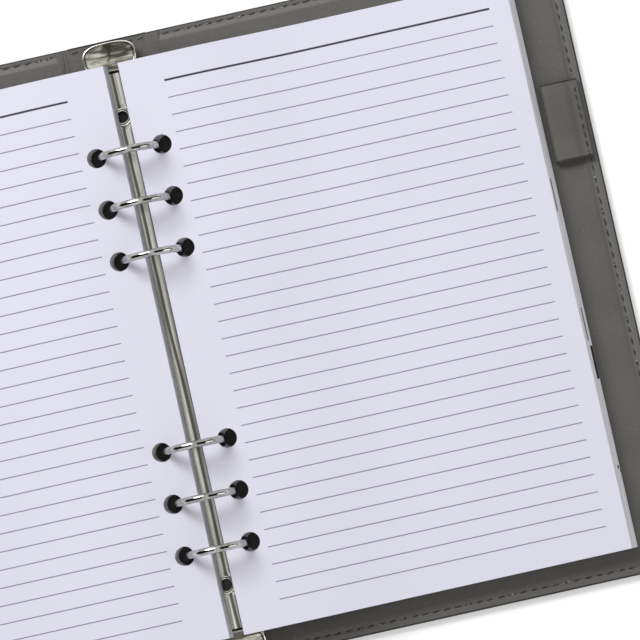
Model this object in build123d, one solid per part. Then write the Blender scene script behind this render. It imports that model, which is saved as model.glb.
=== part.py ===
from build123d import *
import math
import os

os.makedirs("parts", exist_ok=True)

# ---- overall sizes of the binder, opened flat (mm) ----
BINDER_H = 230.0          # height of the covers along the spine
HALF_OPEN_W = 164.5       # spine centre line to the fore edge of a cover
FOLD_X = 16.2             # spine centre line to the fold of each cover
LEATHER_T = 0.8           # leatherette face of a cover
BOARD_T = 1.6             # stiff board between the faces
SEAM_MARGIN = 4.0         # stitched border with no board in it
CORNER_R = 6.0            # rounded outer corners of the covers
FOLD_WEB_T = 0.8          # soft web that bends at each fold

# ---- punched sheets ----
SHEET_W = 142.0
SHEET_H = 210.0
SHEET_HOLE_D = 7.0
SHEET_HOLE_MARGIN = 9.3   # sheet edge to hole centre
SHEET_INNER_X = 2.7       # spine centre line to the inner sheet edge
STACK_T = 6.8             # one stack of sheets
TOP_BUNDLE_T = 1.6        # upper sheets of a stack
RIGHT_SLIP = 2.4          # lowest right sheet slid towards the fore edge
LEFT_SLIP = 1.25          # lowest left sheet slid towards the rings
LEVEL_RUN = 20.0          # level part of a stack beside the rings
SLOPE_RUN = 50.0          # part of a stack that sags down to the cover

# ---- ring mechanism ----
RING_STEP = 19.0          # pitch of the rings inside each group of three
GROUP_GAP = 70.0          # between the two inner rings
RING_R = 10.2             # centre line radius of a ring
WIRE_D = 2.7
TIP_GAP = 0.05            # half of the play where two ring halves meet
OPEN_DEG = 8.0            # each half ring turns out by this much
CHANNEL_L = 206.0
CHANNEL_W = 15.0
CHANNEL_T = 0.8
CHANNEL_TOP = 5.0         # crown of the channel above the spine lining
CHANNEL_SIDE = 3.2        # straight side walls above the lining
SLOT_X = 3.0              # inner end of each wire slot, from the centre line
SLOT_RISE = 0.3           # floor of the slots above the blades' underside
FOOT_X = 4.2              # where a half ring ends in its blade
DIMPLE_D = 9.0            # pressed seats of the rivets in the crown
DIMPLE_DEPTH = 0.7
DIMPLE_T = 0.6
BLADE_T = 0.8
BLADE_LIFT = 1.6          # underside of the blades above the lining
BLADE_SPLIT = 0.25        # half of the gap between the two blades
PIVOT_INSET = 0.1         # outer blade edge to the line it tilts on
LEVER_W = 19.3
LEVER_L = 10.4
LEVER_T = 1.2
LEVER_R = 8.0
LEVER_EDGE_R = 0.7        # rounding round the top of the lever plate
LEVER_DROP = 0.1          # lever plate below the crown of the channel
LEVER_OFF = 0.4           # channel end to lever plate
LEVER_SETBACK = 3.5       # channel end to the lever pin
KNUCKLE_R = 1.4
KNUCKLE_HALF = 3.5        # half width of knuckle and arm
ARM_UNDER = 0.5           # arm below the pin's centre
ARM_OVER = 0.8            # arm above the pin's centre
RISER_L = 2.0             # riser from arm to plate, along the spine
FINGER_HALF = 1.6
FINGER_L = 3.4
FINGER_TOP = 0.75         # top of the finger below the pin's centre
FINGER_T = 0.65
BLADE_SETBACK = 1.9       # lever pin to the end of the blades
LEVER_PIN_D = 1.8
PIN_FIT = 0.05            # radial running fit of the lever on its pin
RIVET_FROM_END = 16.8     # channel end to the middle of a rivet
RIVET_HOLE_D = 3.9
RIVET_WALL = 0.55
RIVET_FLANGE_D = 6.8
RIVET_FLANGE_T = 0.6
RIVET_CAP_D = 8.0
RIVET_CAP_T = 0.5

# ---- pen loop ----
LOOP_L = 29.5
LOOP_FROM_SHEETS = 1.9    # lower right sheets to the folded side of the loop
LOOP_FROM_EDGE = 2.0      # cover edge to the sewn side of the loop
LOOP_T = 0.8
LOOP_GAP = 0.8            # room left inside the empty, flat loop
LOOP_Y = 49.8

# ---- clearances ----
BODY_GAP = 0.3            # between bodies that move against each other
BUNDLE_GAP = 0.1          # air between two bundles of one stack
SHEET_LIFT = 0.5          # sagging sheets above the cover lining
CLOSED_GAP = 0.2          # half of the air between the two stacks when closed
WIRE_GAP = 0.45           # round the wire inside the sheets and slots
WEB_GAP = 0.35            # between the two lips of leatherette at a fold
RIVET_CLEAR = 0.8         # blades round the rivets

# ---- derived levels ----
COVER_T = 2 * LEATHER_T + BOARD_T
FOLD_Z = COVER_T / 2
SLAB_GAP = COVER_T / 2 + BODY_GAP / 2
SPINE_HALF = FOLD_X - SLAB_GAP
COVER_IN = FOLD_X + SLAB_GAP
CROWN_Z = COVER_T + CHANNEL_TOP
STACK_BOTTOM = CROWN_Z + BODY_GAP
STACK_TOP = STACK_BOTTOM + STACK_T
RING_Z = STACK_TOP + CLOSED_GAP
SAG = STACK_BOTTOM - COVER_T - SHEET_LIFT
BLADE_Z = COVER_T + BLADE_LIFT
PIVOT_Z = BLADE_Z + BLADE_T / 2
BLADE_OUT = CHANNEL_W / 2 - CHANNEL_T - BODY_GAP
PIVOT_X = BLADE_OUT - PIVOT_INSET
CHANNEL_END = CHANNEL_L / 2
LEVER_PIVOT_Y = CHANNEL_END - LEVER_SETBACK
BLADE_END = LEVER_PIVOT_Y - BLADE_SETBACK
RIVET_Y = CHANNEL_END - RIVET_FROM_END
RIVET_R = RIVET_HOLE_D / 2 + RIVET_WALL
SEAT_Z = CROWN_Z - DIMPLE_DEPTH
WIRE_R = WIRE_D / 2
OPEN_SHIFT = math.radians(OPEN_DEG) * math.hypot(PIVOT_X, RING_Z - PIVOT_Z)
RING_YS = [s * (GROUP_GAP / 2 + i * RING_STEP) for s in (1, -1) for i in (2, 1, 0)]
RING_YS.sort(reverse=True)


def save(shape, name):
    """Write one named piece to its own file."""
    export_step(shape, os.path.join("parts", name + ".step"))


def block(x0, x1, y0, y1, z0, z1):
    """Box between two corners."""
    box = Box(abs(x1 - x0), abs(y1 - y0), abs(z1 - z0))
    return Pos((x0 + x1) / 2, (y0 + y1) / 2, (z0 + z1) / 2) * box


def rod(x, y, z0, z1, radius):
    """Upright cylinder."""
    return Pos(x, y, (z0 + z1) / 2) * Cylinder(radius, z1 - z0)


def cross_rod(y, z, half, radius):
    """Cylinder lying across the spine."""
    return Pos(0, y, z) * Rot(0, 90, 0) * Cylinder(radius, 2 * half)


def one(shape):
    """The largest solid of a result, so every piece stays one body."""
    return max(shape.solids(), key=lambda s: s.volume)


# ---------------------------------------------------------------- covers
def cover_slab(side, z0, z1):
    """One level of a cover, outer corners rounded."""
    slab = block(side * COVER_IN, side * HALF_OPEN_W, -BINDER_H / 2, BINDER_H / 2, z0, z1)
    outer = slab.edges().filter_by(Axis.Z).group_by(Axis.X)[-1 if side > 0 else 0]
    return fillet(outer, CORNER_R)


def cover_board(side):
    """Stiff board, smaller than the leatherette by the seam margin."""
    x_in = side * (COVER_IN + LEATHER_T)
    x_out = side * (HALF_OPEN_W - SEAM_MARGIN)
    half = BINDER_H / 2 - SEAM_MARGIN
    return block(x_in, x_out, -half, half, LEATHER_T, LEATHER_T + BOARD_T)


def cover_face(side, z0, z1):
    """Outer or inner leatherette face with its share of the board recess."""
    return one(cover_slab(side, z0, z1) - cover_board(side))


def fold_web(side):
    """Soft web from the fold line to the cover, rounded on the fold axis."""
    half = BINDER_H / 2
    z0 = FOLD_Z - FOLD_WEB_T / 2
    web = block(side * FOLD_X, side * COVER_IN, -half, half, z0, z0 + FOLD_WEB_T)
    nose = Pos(side * FOLD_X, 0, FOLD_Z) * Rot(90, 0, 0) * Cylinder(FOLD_WEB_T / 2, BINDER_H)
    return one(web + nose)


# ----------------------------------------------------------------- spine
def spine_board():
    """Board strip of the spine with the two rivet holes."""
    half = BINDER_H / 2 - SEAM_MARGIN
    edge = SPINE_HALF - LEATHER_T
    board = block(-edge, edge, -half, half, LEATHER_T, LEATHER_T + BOARD_T)
    for y in (RIVET_Y, -RIVET_Y):
        board -= rod(0, y, 0, COVER_T, RIVET_R)
    return one(board)


def spine_face(z0, z1):
    """Spine leatherette, inside or outside, hollowed for the board."""
    half = BINDER_H / 2
    face = block(-SPINE_HALF, SPINE_HALF, -half, half, z0, z1)
    edge = SPINE_HALF - LEATHER_T
    inner = half - SEAM_MARGIN
    face -= block(-edge, edge, -inner, inner, LEATHER_T, LEATHER_T + BOARD_T)
    for y in (RIVET_Y, -RIVET_Y):
        face -= rod(0, y, -1, COVER_T + 1, RIVET_R)
    return face


def spine_skin():
    """Outer leatherette with a bending lip at each fold and rivet cap seats."""
    skin = spine_face(0, FOLD_Z)
    lip = FOLD_X - FOLD_WEB_T / 2 - WEB_GAP
    z0 = FOLD_Z - FOLD_WEB_T / 2
    for side in (1, -1):
        skin += block(side * (SPINE_HALF - LEATHER_T), side * lip,
                      -BINDER_H / 2, BINDER_H / 2, z0, FOLD_Z)
    for y in (RIVET_Y, -RIVET_Y):
        skin -= rod(0, y, -1, RIVET_CAP_T, RIVET_CAP_D / 2)
    return one(skin)


def rivet(y):
    """Hollow rivet: tube through channel and spine, rolled flange on top."""
    tube = rod(0, y, RIVET_CAP_T, SEAT_Z + RIVET_FLANGE_T, RIVET_R)
    tube += rod(0, y, SEAT_Z, SEAT_Z + RIVET_FLANGE_T, RIVET_FLANGE_D / 2)
    tube = fillet(tube.edges().group_by(Axis.Z)[-1], RIVET_FLANGE_T * 0.4)
    return one(tube - rod(0, y, 0, CROWN_Z + 1, RIVET_HOLE_D / 2))


def rivet_cap(y):
    """Flat cap closing a rivet in the back of the spine."""
    return rod(0, y, 0, RIVET_CAP_T, RIVET_CAP_D / 2)


# --------------------------------------------------------------- channel
def arch_solid(half_w, side_h, top_h):
    """Solid under a shallow arch on straight sides, length of the channel."""
    base = COVER_T
    with BuildPart() as arch:
        with BuildSketch(Plane.XZ.offset(-CHANNEL_END)):
            with BuildLine():
                Line((-half_w, base), (half_w, base))
                Line((half_w, base), (half_w, base + side_h))
                ThreePointArc((half_w, base + side_h), (0, base + top_h),
                              (-half_w, base + side_h))
                Line((-half_w, base + side_h), (-half_w, base))
            make_face()
        extrude(amount=CHANNEL_L)
    return arch.part


def channel():
    """Arched cover plate of the ring mechanism with wire slots and rivet dimples."""
    half = CHANNEL_W / 2
    plate = arch_solid(half, CHANNEL_SIDE, CHANNEL_TOP)
    plate -= arch_solid(half - CHANNEL_T, CHANNEL_SIDE - CHANNEL_T * 0.5, CHANNEL_TOP - CHANNEL_T)
    slot_half = WIRE_R + WIRE_GAP
    for y in RING_YS:
        for side in (1, -1):
            plate -= block(side * SLOT_X, side * (half + 1), y - slot_half, y + slot_half,
                           BLADE_Z + SLOT_RISE, CROWN_Z + 1)
    for y in (RIVET_Y, -RIVET_Y):
        plate -= rod(0, y, SEAT_Z, CROWN_Z + 1, DIMPLE_D / 2)
        plate += rod(0, y, SEAT_Z - DIMPLE_T, SEAT_Z, DIMPLE_D / 2)
        plate -= rod(0, y, 0, CROWN_Z + 1, RIVET_R)
    for end in (1, -1):
        plate -= cross_rod(end * LEVER_PIVOT_Y, PIVOT_Z, half + 1, LEVER_PIN_D / 2)
    return one(plate)


# ------------------------------------------------------- blades and rings
def half_ring(side, y):
    """Half of one ring: round wire from the tip down to its foot in the blade."""
    foot = math.degrees(math.acos(FOOT_X / RING_R))
    with BuildPart() as ring:
        with BuildLine():
            wire = CenterArc((0, 0), RING_R, -foot, 90 + foot)
        with BuildSketch(Plane(origin=wire @ 0, z_dir=wire % 0)):
            Circle(WIRE_R)
        sweep()
    turned = Pos(0, y, RING_Z) * Rot(90, 0, 0) * ring.part
    if side < 0:
        turned = mirror(turned, Plane.YZ)
    reach = 2 * RING_R
    return one(turned & block(side * TIP_GAP, side * reach, y - WIRE_D, y + WIRE_D,
                              RING_Z - reach, RING_Z + reach))


def blade(side, rings):
    """Long steel strip that carries the six ring halves of one side."""
    strip = block(side * BLADE_SPLIT, side * BLADE_OUT, -BLADE_END, BLADE_END,
                  BLADE_Z, BLADE_Z + BLADE_T)
    for y in (RIVET_Y, -RIVET_Y):
        strip -= rod(0, y, COVER_T, CROWN_Z, RIVET_R + RIVET_CLEAR)
    for ring in rings:
        strip -= ring
    return one(strip)


# ---------------------------------------------------------------- levers
def lever(end):
    """Thumb lever: rounded plate, arm and finger that lifts the blades."""
    y0 = end * (CHANNEL_END + LEVER_OFF)
    y1 = y0 + end * LEVER_L
    top = CROWN_Z - LEVER_DROP
    plate = block(-LEVER_W / 2, LEVER_W / 2, y0, y1, top - LEVER_T, top)
    far = plate.edges().filter_by(Axis.Z).group_by(Axis.Y)[-1 if end > 0 else 0]
    plate = fillet(far, LEVER_R)
    plate = fillet(plate.faces().sort_by(Axis.Z)[-1].edges(), LEVER_EDGE_R)
    yp = end * LEVER_PIVOT_Y
    half = KNUCKLE_HALF
    low = PIVOT_Z - ARM_UNDER
    tip = PIVOT_Z - FINGER_TOP
    body = plate + cross_rod(yp, PIVOT_Z, half, KNUCKLE_R)
    body += block(-half, half, yp, y0 + end * RISER_L, low, PIVOT_Z + ARM_OVER)
    body += block(-half, half, y0, y0 + end * RISER_L, low, top - LEVER_T / 2)
    body += block(-FINGER_HALF, FINGER_HALF, yp, yp - end * FINGER_L, tip - FINGER_T, tip)
    return one(body - cross_rod(yp, PIVOT_Z, half + 1, LEVER_PIN_D / 2 + PIN_FIT))


def lever_pin(end):
    """Pin across the channel that the lever turns on."""
    return cross_rod(end * LEVER_PIVOT_Y, PIVOT_Z, CHANNEL_W / 2, LEVER_PIN_D / 2)


# ---------------------------------------------------------------- sheets
def sagging(side, slip, z0, z1):
    """Bundle of sheets: level beside the rings, then sagging to the cover.

    The sheets fan out evenly, so the lowest one lies slip further from the spine.
    """
    level = SHEET_INNER_X + LEVEL_RUN
    low = level + SLOPE_RUN
    inner = SHEET_INNER_X
    outer = inner + SHEET_W
    bend = (1, 0)
    with BuildPart() as bundle:
        with BuildSketch(Plane.XZ.offset(-SHEET_H / 2)):
            with BuildLine():
                Line((inner + slip, z0), (level, z0))
                Spline((level, z0), (low, z0 - SAG), tangents=(bend, bend))
                Line((low, z0 - SAG), (outer + slip, z0 - SAG))
                Line((outer + slip, z0 - SAG), (outer, z1 - SAG))
                Line((outer, z1 - SAG), (low, z1 - SAG))
                Spline((level, z1), (low, z1 - SAG), tangents=(bend, bend))
                Line((level, z1), (inner, z1))
                Line((inner, z1), (inner + slip, z0))
            make_face()
        extrude(amount=SHEET_H)
    return bundle.part if side > 0 else mirror(bundle.part, Plane.YZ)


def wire_tunnel(y):
    """Curved way of the wire through the sheets, wide enough for open rings."""
    spread = OPEN_SHIFT / 2
    tube = Torus(RING_R + spread, WIRE_R + spread + WIRE_GAP)
    return Pos(0, y, RING_Z) * Rot(90, 0, 0) * tube


def punched_hole(side, slip, y, z0, z1):
    """Round hole through a fanned bundle, leaning as the fanned sheets do."""
    lean = math.degrees(math.atan2(slip, z1 - z0))
    middle = SHEET_INNER_X + SHEET_HOLE_MARGIN + slip / 2
    drill = Cylinder(SHEET_HOLE_D / 2, 3 * (z1 - z0))
    return Pos(side * middle, y, (z0 + z1) / 2) * Rot(0, -side * lean, 0) * drill


def bundle(side, slip, z0, z1):
    """Punched bundle of sheets that fan out by slip from the top one down."""
    body = sagging(side, slip, z0, z1)
    for y in RING_YS:
        body -= punched_hole(side, slip, y, z0, z1)
        body -= wire_tunnel(y)
    return one(body)


# -------------------------------------------------------------- pen loop
def pen_loop():
    """Flat leatherette loop sewn to the fore edge seam, open at both ends."""
    x0 = SHEET_INNER_X + RIGHT_SLIP + SHEET_W + LOOP_FROM_SHEETS
    x1 = HALF_OPEN_W - LOOP_FROM_EDGE
    sewn = x1 - SEAM_MARGIN
    height = LOOP_GAP + 2 * LOOP_T
    half = LOOP_L / 2
    fold = block(x0, sewn, LOOP_Y - half, LOOP_Y + half, COVER_T, COVER_T + height)
    fold = fillet(fold.edges().filter_by(Axis.Y).group_by(Axis.X)[0], height * 0.48)
    hollow = block(x0 + LOOP_T, sewn - LOOP_T, LOOP_Y - LOOP_L, LOOP_Y + LOOP_L,
                   COVER_T + LOOP_T, COVER_T + LOOP_T + LOOP_GAP)
    hollow = fillet(hollow.edges().filter_by(Axis.Y).group_by(Axis.X)[0], LOOP_GAP * 0.45)
    tab = block(sewn, x1, LOOP_Y - half, LOOP_Y + half, COVER_T, COVER_T + 2 * LOOP_T)
    return one(fold - hollow + tab)


# ----------------------------------------------------------------- write
save(spine_board(), "spine_board")
save(spine_skin(), "spine_skin")
save(one(spine_face(FOLD_Z, COVER_T)), "spine_lining")
save(channel(), "ring_channel")
save(rivet(RIVET_Y), "top_rivet")
save(rivet(-RIVET_Y), "bottom_rivet")
save(Compound(children=[rivet_cap(RIVET_Y), rivet_cap(-RIVET_Y)]), "rivet_caps")
save(lever_pin(1), "top_lever_pin")
save(lever_pin(-1), "bottom_lever_pin")
save(lever(1), "top_lever")
save(lever(-1), "bottom_lever")

for side, word in ((-1, "left"), (1, "right")):
    save(cover_board(side), word + "_cover_board")
    save(cover_face(side, 0, FOLD_Z), word + "_cover_skin")
    save(cover_face(side, FOLD_Z, COVER_T), word + "_cover_lining")
    save(fold_web(side), word + "_fold_web")
    halves = [half_ring(side, y) for y in RING_YS]
    for number, ring in enumerate(halves, 1):
        save(ring, word + "_half_ring_" + str(number))
    save(blade(side, halves), word + "_blade")
    slip = RIGHT_SLIP if side > 0 else -LEFT_SLIP
    split = STACK_TOP - TOP_BUNDLE_T
    save(bundle(side, 0, split, STACK_TOP), word + "_upper_sheets")
    save(bundle(side, slip, STACK_BOTTOM, split - BUNDLE_GAP), word + "_lower_sheets")

save(pen_loop(), "pen_loop")
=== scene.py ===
import math

import bpy
import numpy as np
from mathutils import Matrix, Vector


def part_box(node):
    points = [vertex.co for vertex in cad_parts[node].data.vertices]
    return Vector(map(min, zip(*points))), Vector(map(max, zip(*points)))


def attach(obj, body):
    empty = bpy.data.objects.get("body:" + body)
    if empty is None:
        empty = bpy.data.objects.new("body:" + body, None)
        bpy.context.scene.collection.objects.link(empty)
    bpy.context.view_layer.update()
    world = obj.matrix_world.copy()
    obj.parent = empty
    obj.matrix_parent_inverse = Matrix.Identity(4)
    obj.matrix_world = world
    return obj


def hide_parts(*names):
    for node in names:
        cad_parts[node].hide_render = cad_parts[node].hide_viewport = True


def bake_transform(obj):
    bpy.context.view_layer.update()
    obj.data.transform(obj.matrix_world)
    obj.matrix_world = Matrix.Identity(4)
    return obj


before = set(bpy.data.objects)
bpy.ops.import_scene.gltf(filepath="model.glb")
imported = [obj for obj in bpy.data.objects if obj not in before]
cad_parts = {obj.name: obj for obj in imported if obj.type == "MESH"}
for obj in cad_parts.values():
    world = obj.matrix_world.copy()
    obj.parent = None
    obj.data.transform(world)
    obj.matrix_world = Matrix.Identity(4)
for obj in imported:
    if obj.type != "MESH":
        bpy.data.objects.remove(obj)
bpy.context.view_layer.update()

MM = 0.001

# ------------------------------------------------------------------ covers
# A cover is a stiff board between two black leathers that are glued, sewn
# round three sides 3 mm in from the edge, and trimmed together. The raw edge
# is painted dark and rubbed smooth.
COVER_CORNER = 6.0
SEAM_FROM_EDGE = 3.0
SEAM_FROM_TOP = 1.9
SEAM_CORNER = 3.6
cover_low, cover_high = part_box("right_cover_skin")
cover_inner, cover_outer = cover_low.x / MM, cover_high.x / MM
cover_half = cover_high.y / MM
cover_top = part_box("right_cover_lining")[1].z / MM


def leather_shell(name, upper, lower, edge_gap):
    """A closed skin between two grids of points: the upper grid, the lower
    grid turned over, and a wall of quads that joins their borders. The gap to
    the cut edge goes with each point as an attribute, in millimetres."""
    rows, columns = upper.shape[:2]
    number = np.arange(rows * columns).reshape(rows, columns)
    quads = np.stack([number[:-1, :-1], number[1:, :-1], number[1:, 1:], number[:-1, 1:]], -1).reshape(-1, 4)
    border = np.concatenate([number[:-1, 0], number[-1, :-1], number[:0:-1, -1], number[0, :0:-1]])
    after = np.roll(border, -1)
    total = rows * columns
    wall = np.stack([border, border + total, after + total, after], -1)
    faces = np.concatenate([quads, quads[:, ::-1] + total, wall])
    points = np.concatenate([upper.reshape(-1, 3), lower.reshape(-1, 3)]) * MM
    mesh = bpy.data.meshes.new(name)
    mesh.from_pydata(points.tolist(), [], faces.tolist())
    gap = mesh.attributes.new("edge_gap", "FLOAT", "POINT")
    gap.data.foreach_set("value", np.concatenate([edge_gap.ravel()] * 2).astype(np.float32))
    mesh.update()
    # the signed volume tells whether the skin is inside out
    corners = points[faces]
    volume = np.einsum("ij,ij->i", corners[:, 0], np.cross(corners[:, 1], corners[:, 2])).sum()
    volume += np.einsum("ij,ij->i", corners[:, 0], np.cross(corners[:, 2], corners[:, 3])).sum()
    if volume < 0:
        mesh.flip_normals()
    piece = bpy.data.objects.new(name, mesh)
    bpy.context.scene.collection.objects.link(piece)
    return piece


def smooth(piece, angle=40):
    """Shades a piece smooth, and keeps edges sharper than the angle crisp."""
    mesh = piece.data
    mesh.polygons.foreach_set("use_smooth", np.ones(len(mesh.polygons), bool))
    mesh.set_sharp_from_angle(angle=math.radians(angle))
    return piece


def step(value, low, high):
    """Rises smoothly from 0 at low to 1 at high, as 3t^2 - 2t^3."""
    t = np.clip((value - low) / (high - low), 0, 1)
    return t * t * (3 - 2 * t)


def off_seam(x, y):
    """How far a point lies outside the seam line, which is a box with round
    corners, open towards the fold: the distance to the box less its radius."""
    middle = (SEAM_FROM_EDGE - SEAM_FROM_TOP) / 2
    reach = cover_half - (SEAM_FROM_EDGE + SEAM_FROM_TOP) / 2
    px = x - (cover_outer - SEAM_FROM_EDGE - SEAM_CORNER)
    py = np.abs(y - middle) - (reach - SEAM_CORNER)
    return np.hypot(np.maximum(px, 0), np.maximum(py, 0)) + np.minimum(np.maximum(px, py), 0) - SEAM_CORNER


def cover_shell(name, side):
    """A rectangle of grid lines crowded near the cut edges. In the two corner
    squares a point (p, q) moves to (p sqrt(1 - q^2/2), q sqrt(1 - p^2/2)),
    which rounds them. Height is a function of the distance to the edge and to
    the seam: a round nose, a low sewn margin, a groove, then the board."""
    near = np.array([0, .12, .3, .5, .8, 1.1, 1.4, 1.65, 1.9, 2.15, 2.4, 2.7, 3, 3.3, 3.6, 4, 4.5, 5, 5.5, 6])
    width = cover_outer - cover_inner
    inward = np.concatenate([near, np.linspace(6, width - 1.2, 40)[1:], [width - .6, width - .25, width]])
    across = np.concatenate([near, np.linspace(6, 2 * cover_half - 6, 60)[1:-1], 2 * cover_half - near[::-1]])
    x, y = np.meshgrid(cover_outer - inward, across - cover_half, indexing="ij")
    p = np.clip((x - cover_outer) / COVER_CORNER + 1, 0, None)
    q = np.clip((np.abs(y) - cover_half) / COVER_CORNER + 1, 0, None)
    corner = (p > 0) & (q > 0)
    p2 = np.where(corner, p * np.sqrt(1 - q * q / 2), p)
    q2 = np.where(corner, q * np.sqrt(1 - p * p / 2), q)
    x = np.where(corner, cover_outer + (p2 - 1) * COVER_CORNER, x)
    y = np.where(corner, np.sign(y) * (cover_half + (q2 - 1) * COVER_CORNER), y)
    gap = np.where(corner, COVER_CORNER * (1 - np.hypot(p2, q2)),
                   np.minimum(cover_outer - x, cover_half - np.abs(y)))
    gap = np.maximum(gap, 0)
    seam = off_seam(x, y)
    board = step(-seam, .7, 2.1)
    groove = np.exp(-(seam / .38) ** 2)
    pull = 1 + .25 * np.sin(y * 2 * np.pi / 4) * np.sin(x * 2 * np.pi / 4)
    nose = np.sqrt(1 - (1 - np.clip(gap / .7, 0, 1)) ** 2)
    soft = .05 * np.sin(x / 31 + 1.2) * np.sin(y / 43 + .4) * board
    turn_in = step(x - cover_inner, 0, .7)
    middle = cover_top / 2
    top = 2.62 + .5 * board - .2 * groove * pull + soft + .08 * np.exp(-((seam - 1.1) / .5) ** 2)
    bottom = .5 - .45 * board + .2 * groove * pull
    top = middle + .45 + (top - middle - .45) * nose - .03 * (1 - turn_in)
    bottom = middle - .45 + (bottom - middle + .45) * nose + .25 * (1 - turn_in)
    upper = np.stack([side * x, y, np.minimum(top, cover_top)], -1)
    lower = np.stack([side * x, y, np.maximum(bottom, 0)], -1)
    return smooth(leather_shell(name, upper, lower, gap), 50)


def node(tree, kind, sockets=(), **settings):
    """Adds a shader node with its settings, and fills its sockets with values
    or with what comes out of other nodes."""
    made = tree.nodes.new("ShaderNode" + kind)
    for key, value in settings.items():
        setattr(made, key, value)
    for key, value in dict(sockets).items():
        if isinstance(value, bpy.types.NodeSocket):
            tree.links.new(value, made.inputs[key])
        else:
            made.inputs[key].default_value = value
    return made


def sums(tree, operation, a, b=0.0):
    """The outcome of one sum on one or two values."""
    return node(tree, "Math", {0: a, 1: b}, operation=operation).outputs[0]


def product(tree, first, *others):
    """All the values multiplied together."""
    for other in others:
        first = sums(tree, "MULTIPLY", first, other)
    return first


def between(tree, value, low, high, start=0.0, end=1.0):
    """Goes smoothly from start to end as the value goes from low to high."""
    limits = {"Value": value, "From Min": low, "From Max": high, "To Min": start, "To Max": end}
    return node(tree, "MapRange", limits, interpolation_type="SMOOTHSTEP").outputs[0]


def blended(tree, mask, a, b):
    """Colour a where the mask is 0, and colour b where it is 1."""
    return node(tree, "Mix", {0: mask, 6: a, 7: b}, data_type="RGBA").outputs[2]


def dyed(red, green, blue):
    """A colour of 0 to 255 a channel, as the light that it gives back."""
    c = np.array([red, green, blue]) / 255
    c = np.where(c <= .04045, c / 12.92, ((c + .055) / 1.055) ** 2.4)
    return (*c.tolist(), 1.0)


def finish(name, **constants):
    """A new material with its Principled shader's plain values set."""
    material = bpy.data.materials.new(name)
    material.use_nodes = True
    shader = material.node_tree.nodes["Principled BSDF"]
    for key, value in constants.items():
        shader.inputs[key.replace("_", " ")].default_value = value
    return material, material.node_tree, shader


def effect(name, takes, gives):
    """An empty node group with named number inputs and named outputs."""
    group = bpy.data.node_groups.new(name, "ShaderNodeTree")
    for label, value in takes.items():
        socket = group.interface.new_socket(label, in_out="INPUT", socket_type="NodeSocketFloat")
        socket.default_value = value
    for label in gives:
        group.interface.new_socket(label, in_out="OUTPUT", socket_type="NodeSocketFloat")
    return group, group.nodes.new("NodeGroupInput").outputs, group.nodes.new("NodeGroupOutput")


def placed(tree, group, values=()):
    """Places a node group in a material with its own values."""
    made = tree.nodes.new("ShaderNodeGroup")
    made.node_tree = group
    for key, value in dict(values).items():
        made.inputs[key].default_value = value
    return made.outputs


leather_grain, grain_in, grain_out = effect("leather_grain", {"Pebbles": 950.0, "Creases": 60.0},
                                            ["Height", "Shade", "Specks"])
at = node(leather_grain, "TexCoord").outputs["Object"]
pebble = node(leather_grain, "TexVoronoi", {"Vector": at, "Scale": grain_in["Pebbles"], "Randomness": 1.0},
              feature="SMOOTH_F1").outputs["Distance"]
pore_scale = product(leather_grain, grain_in["Pebbles"], 2.6)
pores = node(leather_grain, "TexNoise", {"Vector": at, "Scale": pore_scale, "Detail": 3.0}).outputs[0]
cloud = node(leather_grain, "TexNoise", {"Vector": at, "Scale": grain_in["Creases"], "Detail": 4.0,
                                         "Roughness": .6}).outputs[0]
fluff = node(leather_grain, "TexNoise", {"Vector": at, "Scale": 1500.0, "Detail": 0.0}).outputs[0]
skin = sums(leather_grain, "ADD", pebble, product(leather_grain, pores, .6))
leather_grain.links.new(skin, grain_out.inputs["Height"])
leather_grain.links.new(cloud, grain_out.inputs["Shade"])
leather_grain.links.new(between(leather_grain, fluff, .735, .78), grain_out.inputs["Specks"])


def leather(name, face, margin, worn=1.0):
    """Dyed leather: a pebbled face, a lighter pressed margin along the seam,
    dark paint on the cut edge, and a few pale specks of dust in the pores."""
    material, tree, shader = finish(name, Specular_IOR_Level=.42)
    grain = placed(tree, leather_grain)
    gap = node(tree, "Attribute", attribute_name="edge_gap", attribute_type="GEOMETRY").outputs["Fac"]
    shade = between(tree, grain["Shade"], .3, .7)
    darker = tuple(c * .9 for c in face[:3]) + (1.0,)
    body = blended(tree, shade, darker, face)
    body = blended(tree, between(tree, gap, 4.6, 3.4), body, margin)
    body = blended(tree, product(tree, grain["Specks"], .12 * worn), body, dyed(170, 170, 166))
    body = blended(tree, between(tree, gap, .75, .5), body, dyed(38, 36, 34))
    tree.links.new(body, shader.inputs["Base Color"])
    tree.links.new(between(tree, grain["Shade"], .3, .7, .5, .62), shader.inputs["Roughness"])
    bump = node(tree, "Bump", {"Strength": .3, "Distance": .00022, "Height": grain["Height"]})
    tree.links.new(bump.outputs[0], shader.inputs["Normal"])
    return material


cover_leather = leather("cover_leather_black", dyed(92, 90, 87), dyed(101, 99, 96))
for side, hand in ((1, "right"), (-1, "left")):
    cover = cover_shell(f"{hand}_cover_leather", side)
    cover.data.materials.append(cover_leather)
    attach(cover, f"{hand}_cover")
    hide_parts(f"{hand}_cover_skin", f"{hand}_cover_lining")

# A sheet of grey pressed board lies inside each cover and the spine. It is
# cut back from the seam, so it only shows if the leather is off.
board_grey, tree, shader = finish("pressed_board_grey", Roughness=.85)
at = node(tree, "TexCoord").outputs["Object"]
fibre = node(tree, "TexNoise", {"Vector": at, "Scale": 700.0, "Detail": 4.0}).outputs[0]
tree.links.new(blended(tree, fibre, dyed(96, 92, 86), dyed(132, 127, 119)), shader.inputs["Base Color"])
for name in ("left_cover_board", "right_cover_board", "spine_board"):
    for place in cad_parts[name].material_slots:
        place.material = board_grey

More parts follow.
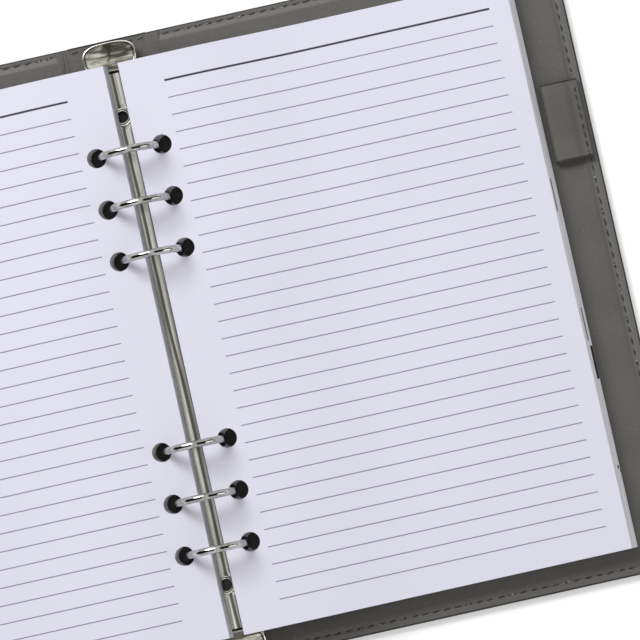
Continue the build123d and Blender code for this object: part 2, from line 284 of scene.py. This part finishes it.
# ------------------------------------------------------------------- spine
# The spine is the same leather over its own narrow board. The outer leather runs on past it and makes the two
# folds.
spine_leather, tree, shader = finish("spine_leather_black", Specular_IOR_Level=.42)
grain = placed(tree, leather_grain)
place_xyz = node(tree, "SeparateXYZ", {0: node(tree, "TexCoord").outputs["Object"]}).outputs
end_gap = sums(tree, "SUBTRACT", cover_half * MM, sums(tree, "ABSOLUTE", place_xyz[1]))
colour = blended(tree, between(tree, grain["Shade"], .3, .7), dyed(84, 82, 79), dyed(92, 90, 87))
colour = blended(tree, product(tree, grain["Specks"], .1), colour, dyed(170, 170, 166))
colour = blended(tree, between(tree, end_gap, .0008, .0004), colour, dyed(38, 36, 34))
tree.links.new(colour, shader.inputs["Base Color"])
tree.links.new(between(tree, grain["Shade"], .3, .7, .5, .62), shader.inputs["Roughness"])
tree.links.new(node(tree, "Bump", {"Strength": .45, "Distance": .00022, "Height": grain["Height"]}).outputs[0],
               shader.inputs["Normal"])
for name in ("spine_skin", "spine_lining"):
    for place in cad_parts[name].material_slots:
        place.material = spine_leather

FOLD_REACH = .9
spine_side = min(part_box("spine_skin")[1].x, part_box("spine_lining")[1].x) / MM


def fold_strip(name, side):
    """A strip along the spine, u across the fold and y along it. Both faces dip
    towards its middle as one wide valley, with three fine creases that wander
    along it and are deepest near the two ends. Only the left fold is creased."""
    u = np.linspace(0, 1, 41)
    near = np.array([0, .15, .4, .8])
    y = np.concatenate([near, np.linspace(1.4, 2 * cover_half - 1.4, 110), 2 * cover_half - near[::-1]])
    u, y = np.meshgrid(u, y - cover_half, indexing="ij")
    x = spine_side - FOLD_REACH + u * (cover_inner - spine_side + 2 * FOLD_REACH)
    gap = cover_half - np.abs(y)
    nose = np.sqrt(1 - (1 - np.clip(gap / .6, 0, 1)) ** 2)
    ends = step(np.minimum(u, 1 - u), 0, .12)
    valley = np.sin(np.pi * u) ** 2
    wander = .05 * np.sin(y / 9) + .03 * np.sin(y / 3.7 + 1)
    strength = .35 + .65 * step(np.abs(y), 60, 112)
    strength = strength * (side < 0)
    crease = sum(depth * np.exp(-((u - place - wander * sway) / .03) ** 2)
                 for place, depth, sway in ((.3, .22, 1), (.52, .3, -.7), (.72, .2, .8)))
    ridge = .01 * np.sin(u * 9 * np.pi) * valley
    top = cover_top - .06 + .09 * ends - .02 * valley - crease * strength + ridge
    bottom = .06 - .05 * ends + .35 * valley + .4 * crease * strength
    middle = cover_top / 2
    top = middle + .3 + (top - middle - .3) * nose
    bottom = middle - .3 + (bottom - middle + .3) * nose
    upper = np.stack([side * x, y, top], -1)
    lower = np.stack([side * x, y, np.maximum(bottom, 0)], -1)
    return smooth(leather_shell(name, upper, lower, gap), 60)


fold_leather = leather("fold_leather_black", dyed(90, 88, 85), dyed(94, 92, 89))
for side, hand in ((1, "right"), (-1, "left")):
    strip = fold_strip(f"{hand}_fold_strip", side)
    strip.data.materials.append(fold_leather)
    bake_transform(strip)
    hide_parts(f"{hand}_fold_web")

# ------------------------------------------------------------------- seams
# Waxed black thread, in a lock stitch of four millimetres that lies in the
# groove on both faces and dips into the leather at each needle hole.
STITCH_PITCH = 4.0
STITCH_LONG = 3.1
THREAD = .62


def thread_row(name, x, y, along_x, along_y, height, side):
    """One soft capsule for each stitch: six rings of eight points. Along a
    stitch, with t from -1 to 1, its radius is sqrt(1 - t^4) of the thread and
    its height falls by t^2, so that both ends sink into the leather."""
    t = np.array([-1, -.82, -.35, .35, .82, 1])
    angle = np.arange(8) * np.pi / 4
    radius = THREAD / 2 * np.sqrt(np.clip(1 - t ** 4, .02, 1))
    run = t * STITCH_LONG / 2
    slant = .22 * t
    x, y, along_x, along_y, height = (value[:, None, None] for value in (x, y, along_x, along_y, height))
    aside = radius[:, None] * np.cos(angle) + slant[:, None]
    px = x + along_x * run[:, None] - along_y * aside
    py = y + along_y * run[:, None] + along_x * aside
    pz = height + side * (radius[:, None] * np.sin(angle) - .28 * t[:, None] ** 2)
    points = np.stack([px, py, np.broadcast_to(pz, px.shape)], -1).reshape(-1, 3) * MM
    ring = np.arange(len(t) * 8).reshape(len(t), 8)
    turned = np.roll(ring, -1, 1)
    body = np.stack([ring[:-1], turned[:-1], turned[1:], ring[1:]], -1).reshape(-1, 4)
    each = np.arange(len(x))[:, None] * len(t) * 8  # where each capsule's points start
    faces = (body.reshape(1, -1) + each).reshape(-1, 4).tolist()
    faces += (ring[0][::-1][None] + each).tolist() + (ring[-1][None] + each).tolist()
    mesh = bpy.data.meshes.new(name)
    mesh.from_pydata(points.tolist(), [], faces)
    mesh.update()
    corners = points.reshape(len(x), -1, 3)[0][body]
    facing = np.cross(corners[:, 1] - corners[:, 0], corners[:, 2] - corners[:, 0])
    volume = ((corners[:, 0] - corners.mean((0, 1))) * facing).sum()
    if volume < 0:
        mesh.flip_normals()
    piece = bpy.data.objects.new(name, mesh)
    bpy.context.scene.collection.objects.link(piece)
    return smooth(piece, 60)


def seam_line(pitch):
    """Points every pitch along the seam, with its direction: straight along the
    top, a quarter turn, down the fore edge, a quarter turn, along the bottom."""
    start = cover_inner + 1.6
    right, top, low = cover_outer - SEAM_FROM_EDGE, cover_half - SEAM_FROM_TOP, -cover_half + SEAM_FROM_EDGE
    flat, tall, quarter = right - SEAM_CORNER - start, top - low - 2 * SEAM_CORNER, SEAM_CORNER * np.pi / 2
    s = np.arange(pitch / 2, 2 * flat + tall + 2 * quarter - pitch / 2, pitch)
    a = np.clip((s - flat) / SEAM_CORNER, 0, np.pi / 2)
    b = np.clip((s - flat - quarter - tall) / SEAM_CORNER, 0, np.pi / 2)
    x = start + np.clip(s, 0, flat) + SEAM_CORNER * np.sin(a) - SEAM_CORNER * (1 - np.cos(b)) \
        - np.clip(s - flat - 2 * quarter - tall, 0, None)
    y = top - SEAM_CORNER * (1 - np.cos(a)) - np.clip(s - flat - quarter, 0, tall) - SEAM_CORNER * np.sin(b)
    turn = -(a + b)
    return x, y, np.cos(turn), np.sin(turn)


thread_black, tree, shader = finish("waxed_thread_black", Specular_IOR_Level=.5)
at = node(tree, "TexCoord").outputs["Object"]
twist = node(tree, "TexWave", {"Vector": at, "Scale": 900.0, "Distortion": 1.5},
             bands_direction="DIAGONAL").outputs["Fac"]
dust = between(tree, node(tree, "TexNoise", {"Vector": at, "Scale": 800.0, "Detail": 1.0}).outputs[0], .6, .68)
colour = blended(tree, twist, dyed(34, 33, 33), dyed(62, 60, 58))
colour = blended(tree, product(tree, dust, .5), colour, dyed(200, 198, 194))
tree.links.new(colour, shader.inputs["Base Color"])
tree.links.new(between(tree, twist, 0.0, 1.0, .5, .7), shader.inputs["Roughness"])
bump = node(tree, "Bump", {"Strength": .5, "Distance": .0001, "Height": twist})
tree.links.new(bump.outputs[0], shader.inputs["Normal"])
seam_x, seam_y, seam_dx, seam_dy = seam_line(STITCH_PITCH)
for side, hand in ((1, "right"), (-1, "left")):
    for face, height, up in (("inside", 2.5, 1), ("outside", .7, -1)):
        row = thread_row(f"{hand}_cover_seam_{face}", side * seam_x, seam_y, side * seam_dx, seam_dy,
                         np.full(len(seam_x), height), up)
        row.data.materials.append(thread_black)
        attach(row, f"{hand}_cover")
end_x = np.arange(-12, 12.1, STITCH_PITCH)
end_y = np.repeat([cover_half - SEAM_FROM_TOP, SEAM_FROM_EDGE - cover_half], len(end_x))
end_x = np.tile(end_x, 2)
for face, height, up in (("inside", cover_top - .02, 1), ("outside", .12, -1)):
    row = thread_row(f"spine_seam_{face}", end_x, end_y, np.ones(len(end_x)), np.zeros(len(end_x)),
                     np.full(len(end_x), height), up)
    row.data.materials.append(thread_black)
    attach(row, "spine")

# ---------------------------------------------------------------- pen loop
# A strap of the same leather, folded over into a flat loop and sewn to the fore edge of the right cover. Its two
# ends are cut square and painted; at the lower, open end the dark paint is drawn wider, as painted shadow in the
# opening.
LOOP_THICK = .75
loop_low, loop_high = (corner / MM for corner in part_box("pen_loop"))


def loop_band(name):
    """The strap's middle line is an open curve through eleven points, as a chain
    of cubics with each point's slope taken from its two neighbours. The strap
    is that line moved half its thickness to each side, carried along y."""
    x0, x1, z0, z1 = loop_low.x, loop_high.x, loop_low.z, loop_high.z
    half = LOOP_THICK / 2
    knots = np.array([[x1 - .1, z0 + half], [x1 - 5, z0 + half], [x0 + 3.5, z0 + half],
                      [x0 + 1.3, z0 + half + .05], [x0 + half + .05, (z0 + z1) / 2],
                      [x0 + 1.5, z1 - half - .12], [x0 + 4.6, z1 - half], [x1 - 5.2, z1 - half - .12],
                      [x1 - 3.4, z0 + 3.1 * half], [x1 - 1.6, z0 + 3 * half + .02], [x1, z0 + 3 * half]])
    slope = np.gradient(knots, axis=0)
    piecewise = np.linspace(0, len(knots) - 1, 101)
    k = np.minimum(piecewise.astype(int), len(knots) - 2)
    t = (piecewise - k)[:, None]
    line = (knots[k] * (1 + 2 * t) * (1 - t) ** 2 + slope[k] * t * (1 - t) ** 2
            + knots[k + 1] * t * t * (3 - 2 * t) + slope[k + 1] * t * t * (t - 1))
    along = np.gradient(line, axis=0)
    along /= np.linalg.norm(along, axis=1)[:, None]
    out = np.stack([along[:, 1], -along[:, 0]], -1)
    length = loop_high.y - loop_low.y
    near = np.array([0, .12, .3, .6, 1, 1.5])
    inset = np.concatenate([near, np.linspace(2, length - 2, 24), length - near[::-1]])
    # At the low end the gap is counted 2.4 times slower, so the dark edge paint runs wider there: painted shadow in
    # the loop's open end.
    gap = np.minimum(inset / 2.4, length - inset)
    nose = .55 + .45 * np.sqrt(1 - (1 - np.clip(gap / .4, 0, 1)) ** 2)
    y = loop_low.y + inset
    grids = []
    for sign in (1, -1):
        xz = line[:, None] + sign * half * nose[None, :, None] * out[:, None]
        xz[..., 1] = np.clip(xz[..., 1] + .05 * np.sin(y / 4)[None] * (line[:, 1, None] > z0 + 1), z0 - .5, z1)
        grids.append(np.stack([xz[..., 0], np.broadcast_to(y, xz.shape[:2]), xz[..., 1]], -1))
    return smooth(leather_shell(name, grids[0], grids[1], np.broadcast_to(gap, xz.shape[:2])), 50)


loop_leather = leather("loop_leather_black", dyed(88, 86, 82), dyed(90, 88, 84), .6)
band = loop_band("pen_loop_strap")
band.data.materials.append(loop_leather)
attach(band, "right_cover")
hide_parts("pen_loop")
loop_y = np.arange(loop_low.y + 2, loop_high.y - 1.9, STITCH_PITCH * .85)
row = thread_row("pen_loop_seam", np.full(len(loop_y), loop_high.x - 1.3), loop_y,
                 np.zeros(len(loop_y)), np.ones(len(loop_y)),
                 np.full(len(loop_y), loop_low.z + 2 * LOOP_THICK + .02), 1)
row.data.materials.append(thread_black)
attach(row, "right_cover")

# --------------------------------------------------------------- mechanism
# The ring channel is rolled from nickel-plated steel strip and polished
# along its length, which leaves fine streaks. The two blades under it are
# plain steel. Bright plated wire makes the rings.
metal_streaks, streak_in, streak_out = effect(
    "metal_streaks", {"Across": 260.0, "Along": 9.0, "Fine": 9.0}, ["Bands", "Lines", "Smears"])
at = node(metal_streaks, "SeparateXYZ", {0: node(metal_streaks, "TexCoord").outputs["Object"]}).outputs


def drawn_out(tree, at, across, along, detail):
    """Noise that changes fast across the strip and slowly along it."""
    stretched = {0: product(tree, at[0], across), 1: product(tree, at[1], along), 2: product(tree, at[2], across)}
    vector = node(tree, "CombineXYZ", stretched).outputs[0]
    return node(tree, "TexNoise", {"Vector": vector, "Scale": 1.0, "Detail": detail,
                                   "Roughness": .6}).outputs[0]


bands = drawn_out(metal_streaks, at, streak_in["Across"], streak_in["Along"], 2.0)
metal_streaks.links.new(bands, streak_out.inputs["Bands"])
fine_across = product(metal_streaks, streak_in["Across"], streak_in["Fine"])
fine_along = product(metal_streaks, streak_in["Along"], 2.5)
metal_streaks.links.new(drawn_out(metal_streaks, at, fine_across, fine_along, 4.0), streak_out.inputs["Lines"])
smear = node(metal_streaks, "TexNoise", {"Vector": node(metal_streaks, "TexCoord").outputs["Object"],
                                         "Scale": 55.0, "Detail": 3.0})
metal_streaks.links.new(smear.outputs[0], streak_out.inputs["Smears"])


def plated(name, dark, light, roughness, streaks, low=.38, high=.62, relief=.00002):
    """Plated metal: bands and fine lines of lighter and darker metal along its
    length, handling smears in its gloss, and lines a hair deep."""
    material, tree, shader = finish(name, Metallic=1.0)
    marks = placed(tree, metal_streaks, streaks)
    tone = sums(tree, "ADD", product(tree, marks["Bands"], .72), product(tree, marks["Lines"], .28))
    tree.links.new(blended(tree, between(tree, tone, low, high), dark, light), shader.inputs["Base Color"])
    tree.links.new(between(tree, marks["Smears"], .3, .7, roughness, roughness * 1.7), shader.inputs["Roughness"])
    bump = node(tree, "Bump", {"Strength": .35, "Distance": relief, "Height": marks["Lines"]})
    tree.links.new(bump.outputs[0], shader.inputs["Normal"])
    return material


# The channel's lighter and darker lengthwise bands are polish streaks and partly painted reflections.
channel_nickel = plated("channel_nickel", dyed(150, 149, 138), dyed(236, 235, 226), .2,
                        {"Across": 420.0, "Along": 9.0, "Fine": 8.0})
# The crown is a little hollow, and oil and years have left a dark tarnish stripe in it, which wanders along the
# channel; the stripe is also a painted reflection. The dark line under the sheets' edge is painted shadow, and so
# is the near black at the channel's two ends, next to the levers.
tree, shader = channel_nickel.node_tree, channel_nickel.node_tree.nodes["Principled BSDF"]
at = node(tree, "SeparateXYZ", {0: node(tree, "TexCoord").outputs["Object"]}).outputs
lengthwise = node(tree, "CombineXYZ", {1: product(tree, at[1], 16.0)}).outputs[0]
drift = node(tree, "TexNoise", {"Vector": lengthwise, "Scale": 1.0, "Detail": 2.0}).outputs[0]
wander = product(tree, sums(tree, "SUBTRACT", drift, .5), .0022)
centre = sums(tree, "ADD", product(tree, at[1], -.009), wander)
away = sums(tree, "ABSOLUTE", sums(tree, "SUBTRACT", sums(tree, "ADD", at[0], -.0002), centre))
# tarnish and painted reflection: the dark stripe that wanders along the crown
tarnish_and_reflection_stripe = between(tree, away, .0009, .0003, 0.0, .88)
# painted shadow: a dark line along the channel under the sheets' edge
painted_shadow_line = between(tree, sums(tree, "ABSOLUTE", sums(tree, "SUBTRACT", at[0], .0024)), .0004, .0001, 0.0, .7)
# painted shadow: the channel's two ends, under the levers, are painted near black
ends = between(tree, sums(tree, "ABSOLUTE", at[1]), .1021, .1024)
clean = shader.inputs["Base Color"].links[0].from_socket
colour = blended(tree, sums(tree, "MAXIMUM", tarnish_and_reflection_stripe, painted_shadow_line), clean, dyed(58, 54, 47))
tree.links.new(blended(tree, ends, colour, dyed(18, 17, 15)), shader.inputs["Base Color"])
lever_nickel = plated("lever_nickel", dyed(128, 127, 116), dyed(214, 213, 204), .16,
                      {"Across": 150.0, "Along": 90.0, "Fine": 6.0})
rivet_nickel = plated("rivet_nickel", dyed(190, 189, 180), dyed(236, 235, 228), .18,
                      {"Across": 300.0, "Along": 300.0, "Fine": 4.0})
blade_steel = plated("blade_steel", dyed(70, 69, 66), dyed(128, 126, 122), .34,
                     {"Across": 500.0, "Along": 20.0, "Fine": 6.0})
ring_chrome = plated("ring_chrome", dyed(148, 148, 145), dyed(206, 206, 203), .04,
                     {"Across": 220.0, "Along": 220.0, "Fine": 9.0}, .3, .7, .000008)
# Inside its bore a rivet is unlit: the bore is painted near black and dull, as painted shade.
tree, shader = rivet_nickel.node_tree, rivet_nickel.node_tree.nodes["Principled BSDF"]
at = node(tree, "SeparateXYZ", {0: node(tree, "TexCoord").outputs["Object"]}).outputs
rivet_middle = sum(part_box("top_rivet"), Vector()) / 2
from_middle = sums(tree, "SQRT", sums(tree, "ADD", sums(tree, "POWER", at[0], 2.0), sums(tree, "POWER", sums(
    tree, "SUBTRACT", sums(tree, "ABSOLUTE", at[1]), rivet_middle.y), 2.0)))
bore_shade = product(tree, between(tree, from_middle, .00215, .00205), between(tree, at[2], .0003, .0004))
# painted shade: dark rings in the crease of the rolled lip and round its edges, on its top only
groove_shade = 0.0
for line, width in ((.00212, .00012), (.00272, .00015), (.00337, .00012)):
    off_line = sums(tree, "ABSOLUTE", sums(tree, "SUBTRACT", from_middle, line))
    groove_shade = sums(tree, "MAXIMUM", groove_shade, between(tree, off_line, width * 1.5, width * .6))
groove_shade = product(tree, groove_shade, between(tree, at[2], .006, .007, 0.0, .85))
colour = blended(tree, groove_shade, shader.inputs["Base Color"].links[0].from_socket, dyed(44, 41, 35))
tree.links.new(blended(tree, bore_shade, colour, dyed(9, 9, 9)), shader.inputs["Base Color"])
tree.links.new(sums(tree, "SUBTRACT", 1.0, bore_shade), shader.inputs["Metallic"])

metal_of = {"ring_channel": channel_nickel, "top_lever": lever_nickel, "bottom_lever": lever_nickel,
            "top_rivet": rivet_nickel, "bottom_rivet": rivet_nickel, "rivet_caps": rivet_nickel,
            "top_lever_pin": blade_steel, "bottom_lever_pin": blade_steel,
            "left_blade": blade_steel, "right_blade": blade_steel}
metal_of.update({f"{hand}_half_ring_{i}": ring_chrome for hand in ("left", "right") for i in range(1, 7)})
for name, metal in metal_of.items():
    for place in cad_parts[name].material_slots:
        place.material = metal

# Each rivet's top is rolled over into a lip with a second, flatter ring
# round it, turned in one press stroke from the end of its tube.
LIP = np.array([[1.95, 7.6], [1.95, 8.1], [2.08, 8.3], [2.3, 8.38], [2.5, 8.26], [2.62, 8.0],
                [2.76, 8.0], [2.9, 8.2], [3.1, 8.26], [3.32, 8.12], [3.42, 7.85], [3.42, 7.6]])


def turned_lip(name, y):
    """A closed outline of radius and height, carried round the upright line
    through (0, y) in 48 steps: x = r cos a, y = y + r sin a."""
    a = np.arange(48) * np.pi / 24
    r, z = LIP[:, 0], LIP[:, 1]
    x, y = np.cos(a)[:, None] * r, y + np.sin(a)[:, None] * r
    points = np.stack([x, y, np.broadcast_to(z, x.shape)], -1).reshape(-1, 3) * MM
    ring = np.arange(48 * len(r)).reshape(48, len(r))
    on, over = np.roll(ring, -1, 0), np.roll(ring, -1, 1)
    faces = np.stack([ring, on, np.roll(on, -1, 1), over], -1).reshape(-1, 4)
    mesh = bpy.data.meshes.new(name)
    mesh.from_pydata(points.tolist(), [], faces.tolist())
    mesh.update()
    corners = points[faces]
    if np.einsum("ij,ij->i", corners[:, 0], np.cross(corners[:, 1], corners[:, 2])).sum() < 0:
        mesh.flip_normals()
    piece = bpy.data.objects.new(name, mesh)
    bpy.context.scene.collection.objects.link(piece)
    return smooth(piece, 60)


for end, way in (("top", 1), ("bottom", -1)):
    lip = turned_lip(f"{end}_rivet_lip", way * rivet_middle.y / MM)
    lip.data.materials.append(rivet_nickel)
    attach(lip, "spine")

# The press plate on each lever is stamped from bright sheet, slightly dished,
# with its rim rolled up so that it doesn't cut the thumb.
plate_low, plate_high = (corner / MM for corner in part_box("top_lever"))
PLATE_HALF_X = plate_high.x + .03
PLATE_HALF_Y = 5.3
PLATE_MIDDLE_Y = plate_high.y + .02 - PLATE_HALF_Y


def press_plate(name, way):
    """A square grid (p, q) becomes a disc as in the covers' corners, and the
    disc's radius then grows by 1 / (|cos|^3 + |sin|^3)^(1/3), which squares it
    up. Height depends on the radius: a dish, then a rolled rim."""
    g = np.sin(np.linspace(-np.pi / 2, np.pi / 2, 61))
    p, q = np.meshgrid(g, g, indexing="ij")
    dx, dy = p * np.sqrt(1 - q * q / 2), q * np.sqrt(1 - p * p / 2)
    radius = np.minimum(np.hypot(dx, dy), 1)
    a = np.arctan2(dy, dx)
    square = 1 / (np.abs(np.cos(a)) ** 3 + np.abs(np.sin(a)) ** 3) ** (1 / 3)
    x = PLATE_HALF_X * radius * square * np.cos(a)
    y = way * (PLATE_MIDDLE_Y + PLATE_HALF_Y * radius * square * np.sin(a))
    rim = np.exp(-((radius - .945) / .035) ** 2)
    fall = 1 - np.sqrt(1 - np.clip((radius - .95) / .05, 0, 1) ** 2)
    top = plate_high.z + .06 + .1 * radius ** 2 + .14 * rim - .3 * fall
    low = np.full_like(top, plate_high.z - .34)
    return smooth(leather_shell(name, np.stack([x, y, top], -1), np.stack([x, y, low], -1), radius), 50)


press_nickel, tree, shader = finish("press_plate_nickel", Metallic=1.0)
at = node(tree, "SeparateXYZ", {0: node(tree, "TexCoord").outputs["Object"]}).outputs
marks = placed(tree, metal_streaks, {"Across": 55.0, "Along": 300.0, "Fine": 3.0})
rim = node(tree, "Attribute", attribute_name="edge_gap", attribute_type="GEOMETRY").outputs["Fac"]
# The dark wedge at the plate's middle is partly tarnish and partly a painted reflection; the dark band along the
# plate's inner side and the dark streaks across it are painted reflections.
outward = sums(tree, "SUBTRACT", sums(tree, "ABSOLUTE", at[1]), PLATE_MIDDLE_Y * MM)
waver = sums(tree, "SUBTRACT", marks["Bands"], .5)
from_middle = sums(tree, "ABSOLUTE", sums(tree, "ADD", at[0], product(tree, waver, .004)))
tarnish_and_reflection_wedge = sums(tree, "SUBTRACT", from_middle, product(tree, outward, .3))
tarnish_and_reflection_wedge = between(tree, tarnish_and_reflection_wedge, .0014, -.0002, 0.0, .95)
painted_reflection_band = between(tree, sums(tree, "ADD", outward, product(tree, waver, .009)), -.0012, -.0026, 0.0, .85)
streaks = between(tree, marks["Bands"], .54, .42, 0.0, .88)
dark = sums(tree, "MAXIMUM", sums(tree, "MAXIMUM", tarnish_and_reflection_wedge, painted_reflection_band), streaks)
colour = blended(tree, between(tree, marks["Lines"], .35, .65), dyed(142, 140, 127), dyed(224, 222, 209))
colour = blended(tree, dark, colour, dyed(52, 49, 42))
# painted highlight: a bright line along the crest of the rolled rim
colour = blended(tree, between(tree, rim, .93, .96), colour, dyed(240, 240, 234))
tree.links.new(colour, shader.inputs["Base Color"])
tree.links.new(between(tree, marks["Smears"], .3, .7, .14, .26), shader.inputs["Roughness"])
bump = node(tree, "Bump", {"Strength": .3, "Distance": .00002, "Height": marks["Lines"]})
tree.links.new(bump.outputs[0], shader.inputs["Normal"])
for end, way in (("top", 1), ("bottom", -1)):
    plate = press_plate(f"{end}_press_plate", way)
    plate.data.materials.append(press_nickel)
    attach(plate, f"{end}_lever")

# ------------------------------------------------------------------ sheets
# Two stacks of ruled writing paper, punched for six rings. The sheets are
# printed with thirty fine lines under a heavy one, and the right stack has
# small printed index marks at its fore edge.
LINE_PITCH = 6.35
HEAD_LINE = 95.2
LINE_COUNT = 30
LINE_FROM, LINE_TO = 17.8, 137.3

INDEX_MARKS = ((145.4, 24.8, .17, 6), (146.0, -22.8, .17, 6.1), (146.6, -37, .45, 6.1),
               (146.5, -75.5, .25, .7), (147.1, -77, .25, .4))  # middle x and y, half width, half length

ink_block, block_in, block_out = effect(
    "ink_block", {"Middle X": 0.0, "Middle Y": 0.0, "Half X": 1.0, "Half Y": 1.0}, ["Ink"])
at = node(ink_block, "SeparateXYZ", {0: node(ink_block, "TexCoord").outputs["Object"]}).outputs
reach = []
for i, axis in enumerate("XY"):
    off_middle = sums(ink_block, "SUBTRACT", product(ink_block, at[i], 1000.0), block_in[f"Middle {axis}"])
    reach.append(sums(ink_block, "SUBTRACT", block_in[f"Half {axis}"], sums(ink_block, "ABSOLUTE", off_middle)))
ink_block.links.new(between(ink_block, sums(ink_block, "MINIMUM", *reach), -.04, .04), block_out.inputs["Ink"])

paper, tree, shader = finish("ruled_paper_white", Specular_IOR_Level=.3)
coords = node(tree, "TexCoord").outputs
at = node(tree, "SeparateXYZ", {0: coords["Object"]}).outputs
far = product(tree, sums(tree, "ABSOLUTE", at[0]), 1000.0)
up = product(tree, at[1], 1000.0)
facing = node(tree, "SeparateXYZ", {0: coords["Normal"]}).outputs[2]
upright = sums(tree, "ABSOLUTE", facing)
not_under = between(tree, facing, -.5, -.3)
count = sums(tree, "DIVIDE", sums(tree, "SUBTRACT", HEAD_LINE, up), LINE_PITCH)
whole = sums(tree, "ROUND", count)
off_line = product(tree, sums(tree, "ABSOLUTE", sums(tree, "SUBTRACT", count, whole)), LINE_PITCH)
inside = product(tree, between(tree, far, LINE_FROM - .1, LINE_FROM + .1),
                 between(tree, far, LINE_TO + .1, LINE_TO - .1), between(tree, upright, .6, .8))
thin = product(tree, between(tree, off_line, .26, .14), sums(tree, "GREATER_THAN", whole, .5),
               sums(tree, "LESS_THAN", whole, LINE_COUNT + .5))
heavy = between(tree, sums(tree, "ABSOLUTE", sums(tree, "SUBTRACT", up, HEAD_LINE)), .45, .3)
at_z = product(tree, at[2], 1000.0)
leaf = sums(tree, "ADD", at_z, between(tree, far, 22.7, 72.7, 0.0, 4.8))
layered = node(tree, "CombineXYZ", {0: product(tree, far, .012), 1: product(tree, up, .012),
                                    2: product(tree, leaf, 5.5)}).outputs[0]
leaves = node(tree, "TexNoise", {"Vector": layered, "Scale": 1.0, "Detail": 2.0, "Roughness": .7}).outputs[0]
cut = between(tree, upright, .7, .45)
fibre = node(tree, "TexNoise", {"Vector": coords["Object"], "Scale": 1300.0, "Detail": 3.0}).outputs[0]
cloud = node(tree, "TexNoise", {"Vector": coords["Object"], "Scale": 16.0, "Detail": 2.0}).outputs[0]
colour = blended(tree, between(tree, cloud, .3, .7), dyed(220, 219, 233), dyed(222, 221, 235))
# painted light: the cut edges of the stacks are painted brighter than the face of the sheets
colour = blended(tree, cut, colour, dyed(238, 238, 244))
# painted shade: grey lines between the leaves on the cut edges
colour = blended(tree, product(tree, cut, between(tree, leaves, .4, .62)), colour, dyed(206, 206, 210))
colour = blended(tree, product(tree, thin, inside, .95), colour, dyed(128, 122, 146))
colour = blended(tree, product(tree, heavy, inside), colour, dyed(60, 57, 74))
for mark_sizes in INDEX_MARKS:
    mark = placed(tree, ink_block, zip(("Middle X", "Middle Y", "Half X", "Half Y"), mark_sizes))
    colour = blended(tree, product(tree, mark["Ink"], not_under), colour, dyed(30, 29, 33))
tree.links.new(colour, shader.inputs["Base Color"])
tree.links.new(between(tree, fibre, .3, .7, .62, .78), shader.inputs["Roughness"])
relief = sums(tree, "ADD", product(tree, fibre, .25), product(tree, leaves, cut))
bump = node(tree, "Bump", {"Strength": .35, "Distance": .00008, "Height": relief})
tree.links.new(bump.outputs[0], shader.inputs["Normal"])
for name in ("left_upper_sheets", "left_lower_sheets", "right_upper_sheets", "right_lower_sheets"):
    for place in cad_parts[name].material_slots:
        place.material = paper

# ------------------------------------------------------------------ studio
# A plain pale floor under soft daylight from the upper left. The air is
# bright, with a black flag at each side for the polished metal to show.
FLOOR_HALF, FLOOR_Z = 4.0, -.0003
floor_mesh = bpy.data.meshes.new("floor")
floor_mesh.from_pydata([(x * FLOOR_HALF, y * FLOOR_HALF, FLOOR_Z) for x, y in ((-1, -1), (1, -1), (1, 1), (-1, 1))],
                       [], [(0, 1, 2, 3)])
floor = bpy.data.objects.new("floor", floor_mesh)
bpy.context.scene.collection.objects.link(floor)
floor_white, tree, shader = finish("floor_white", Roughness=.9)
shader.inputs["Base Color"].default_value = (.86, .86, .86, 1)
seen = node(tree, "LightPath").outputs
seen = sums(tree, "MAXIMUM", sums(tree, "MAXIMUM", seen["Is Camera Ray"], seen["Is Glossy Ray"]),
            seen["Is Transmission Ray"])
glow = node(tree, "Emission", {"Color": (1, 1, 1, 1), "Strength": product(tree, seen, .3)}).outputs[0]
both = node(tree, "AddShader", {0: shader.outputs[0], 1: glow}).outputs[0]
tree.links.new(both, tree.nodes["Material Output"].inputs["Surface"])
floor_mesh.materials.append(floor_white)

scene = bpy.context.scene
scene.view_settings.view_transform = "Standard"
scene.world = bpy.data.worlds.new("studio_air")
scene.world.use_nodes = True
tree = scene.world.node_tree
towards = node(tree, "SeparateXYZ", {0: node(tree, "TexCoord").outputs["Generated"]}).outputs
flag = product(tree, between(tree, sums(tree, "ABSOLUTE", towards[0]), .14, .24),
            between(tree, sums(tree, "ABSOLUTE", towards[1]), .62, .42))
flag = product(tree, flag, between(tree, towards[2], .1, .24))
air = blended(tree, between(tree, towards[2], 0.0, .35), (.85, .85, .85, 1), (1, 1, 1, 1))
air = blended(tree, flag, air, (.02, .02, .02, 1))
tree.links.new(air, tree.nodes["Background"].inputs["Color"])
tree.nodes["Background"].inputs["Strength"].default_value = .84

for name, spot, power, width in (("window", (-.8, 1.25, 1.45), 34.0, 1.0), ("fill", (1.6, -.3, .9), 6.0, 1.0)):
    lamp = bpy.data.lights.new(name, "AREA")
    lamp.energy, lamp.size = power, width
    light = bpy.data.objects.new(name, lamp)
    light.location = spot
    light.rotation_euler = (-Vector(spot)).to_track_quat("-Z", "Y").to_euler()
    scene.collection.objects.link(light)

CAMERA_AWAY = 1.8
view = bpy.data.cameras.new("camera")
view.lens, view.sensor_width = 280.5, 36
camera = bpy.data.objects.new("camera", view)
turn = (Matrix.Rotation(math.radians(-2.42), 4, "X") @ Matrix.Rotation(math.radians(-1.13), 4, "Y")
        @ Matrix.Rotation(math.radians(12.57), 4, "Z"))
CAMERA_AIM = (.05343, -.00036, 0)
camera.matrix_world = (Matrix.Translation(CAMERA_AIM) @ turn.transposed()
                       @ Matrix.Translation((0, 0, CAMERA_AWAY)))
scene.collection.objects.link(camera)
scene.camera = camera

bpy.context.view_layer.update()
